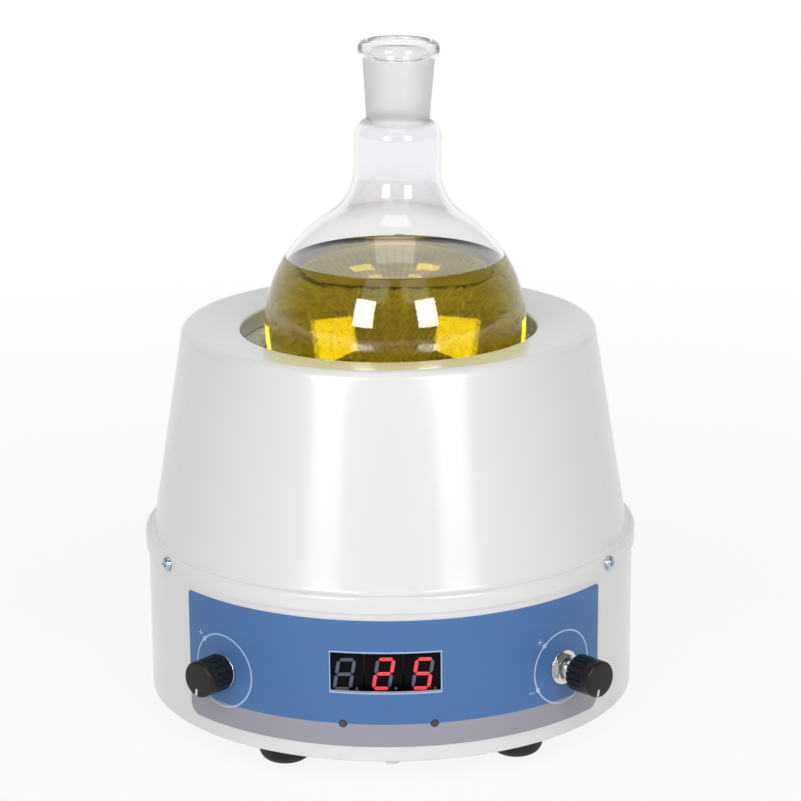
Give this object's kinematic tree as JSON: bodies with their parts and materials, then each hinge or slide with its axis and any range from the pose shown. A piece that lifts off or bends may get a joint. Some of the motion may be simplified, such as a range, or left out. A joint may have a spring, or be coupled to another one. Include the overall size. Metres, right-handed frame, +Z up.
{
  "type": "heating mantle",
  "caption": "Digital heating mantle with magnetic stirrer: white spun housing, printed control panel, two knobs and LED display, holding a round bottom flask.",
  "frame": {"origin": "on the bench, under the housing's vertical axis", "axes": "+Z up along the housing's axis; the control panel faces -Y; +X is to the right as seen from the panel's side"},
  "size_m": [0.1962, 0.1984, 0.2747],
  "materials": {
    "housing_enamel": "gloss white enamel",
    "zinc_sheet": "zinc plated sheet",
    "zinc_fasteners": "blue zinc plate",
    "nickel_fittings": "bright nickel plate",
    "foot_rubber": "matt black rubber",
    "panel_print": "satin printed sheet, blue over a grey band",
    "display_black": "gloss black moulding",
    "led_lit": "lit red diffuser",
    "led_unlit": "unlit diffuser",
    "circuit_board": "green solder mask",
    "switch_black": "matt black moulding",
    "knob_black": "satin black moulding",
    "pot_metal": "turned and plated steel",
    "flask_glass": "clear borosilicate, ground socket",
    "bath_oil": "clear yellow-green liquid",
    "woven_fibre": "knitted glass fibre",
    "insulation_wool": "pressed mineral wool",
    "pan_aluminium": "spun aluminium",
    "probe_steel": "drawn stainless tube",
    "motor_steel": "dark plated steel",
    "capacitor_sleeve": "shrunk sleeve",
    "pin_brass": "nickel plated brass"
  },
  "bodies": {
    "mantle": {"base_housing": "housing_enamel", "plate_ring": "housing_enamel", "upper_cover": "housing_enamel", "bottom_plate": "zinc_sheet", "motor_bridge": "zinc_sheet", "cover_screws": "zinc_fasteners", "clip_nuts": "zinc_fasteners", "foot_screws": "zinc_fasteners", "foot_nuts": "zinc_fasteners", "plate_screws": "zinc_fasteners", "bridge_screws": "zinc_fasteners", "motor_screws": "zinc_fasteners", "pan_studs": "zinc_fasteners", "pan_nuts": "zinc_fasteners", "board_studs": "zinc_fasteners", "board_nuts": "zinc_fasteners", "board_pillars": "zinc_fasteners", "pot_washers": "nickel_fittings", "pot_nuts": "nickel_fittings", "foot_front_left": "foot_rubber", "foot_front_right": "foot_rubber", "foot_rear_left": "foot_rubber", "foot_rear_right": "foot_rubber", "control_panel": "panel_print", "digit_left": "display_black", "digit_middle": "display_black", "digit_right": "display_black", "lit_bars": "led_lit", "unlit_bars": "led_unlit", "display_board": "circuit_board", "power_board": "circuit_board", "set_switch": "switch_black", "run_switch": "switch_black", "power_inlet": "switch_black", "rocker_frame": "switch_black", "speed_pot": "pot_metal", "heat_pot": "pot_metal", "flask": "flask_glass", "liquid": "bath_oil", "heating_bowl": "woven_fibre", "heating_element": "woven_fibre", "insulation_bowl": "insulation_wool", "inner_pan": "pan_aluminium", "triac_heatsink": "pan_aluminium", "temperature_probe": "probe_steel", "stir_motor": "motor_steel", "power_transformer": "motor_steel", "filter_capacitor": "capacitor_sleeve", "inlet_pins": "pin_brass"},
    "speed_control": {"speed_knob": "knob_black", "speed_shaft": "pot_metal"},
    "heat_control": {"heat_knob": "knob_black", "heat_shaft": "pot_metal"},
    "set_button_body": {"set_button": "switch_black"},
    "run_button_body": {"run_button": "switch_black"},
    "rocker": {"power_rocker": "switch_black"},
    "stirrer": {"motor_shaft": "probe_steel", "magnet_carrier": "pan_aluminium", "stirrer_magnets": "nickel_fittings"}
  },
  "joints": [
    {"name": "speed_turn", "type": "hinge", "parent": "mantle", "child": "speed_control", "pos_m": [-0.06626, -0.0749, 0.0362], "axis": [0.6626, 0.749, 0], "range_deg": [0, 300]},
    {"name": "heat_turn", "type": "hinge", "parent": "mantle", "child": "heat_control", "pos_m": [0.0673, -0.07396, 0.0362], "axis": [-0.673, 0.7396, 0], "range_deg": [0, 300]},
    {"name": "set_press", "type": "slide", "parent": "mantle", "child": "set_button_body", "axis": [0, 1, 0], "range_m": [0, 0.0005], "stiffness_N_per_m": 1500},
    {"name": "run_press", "type": "slide", "parent": "mantle", "child": "run_button_body", "axis": [0, 1, 0], "range_m": [0, 0.0005], "stiffness_N_per_m": 1500},
    {"name": "power_rock", "type": "hinge", "parent": "mantle", "child": "rocker", "pos_m": [-0.02322, 0.09315, 0.036], "axis": [-0.9703, -0.2419, 0], "range_deg": [0, 16]},
    {"name": "stirrer_spin", "type": "hinge", "parent": "mantle", "child": "stirrer", "pos_m": [0, 0, 0.072], "axis": [0, 0, 1], "continuous": true}
  ]
}
